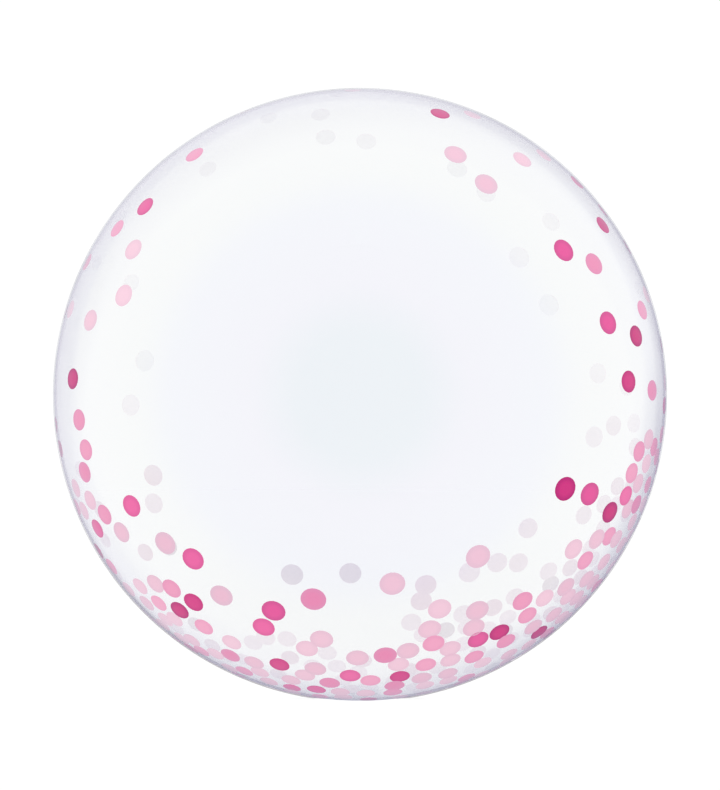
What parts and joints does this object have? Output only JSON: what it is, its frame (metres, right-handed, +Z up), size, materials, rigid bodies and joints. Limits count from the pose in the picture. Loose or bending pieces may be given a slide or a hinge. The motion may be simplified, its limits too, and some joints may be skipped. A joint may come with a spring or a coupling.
{
  "type": "clear bubble balloon",
  "caption": "Inflated clear film ball balloon with a welded rim, a flat resting patch and a flat filling neck folded back under it.",
  "frame": {"origin": "the middle of the flat patch that the balloon rests on, at the surface", "axes": "+Z up, -Y towards the front panel, +X to the right of someone facing the front panel"},
  "size_m": [0.61, 0.605, 0.6065],
  "materials": {
    "clear_film": "clear stretched film, glossy, with a faint cool haze",
    "magenta_ink": "printed ink under the film's gloss",
    "rose_ink": "printed ink under the film's gloss",
    "blush_ink": "thin printed ink under the film's gloss",
    "pearl_ink": "very thin printed ink under the film's gloss"
  },
  "bodies": {
    "root": {"balloon": "clear_film"}
  },
  "joints": []
}
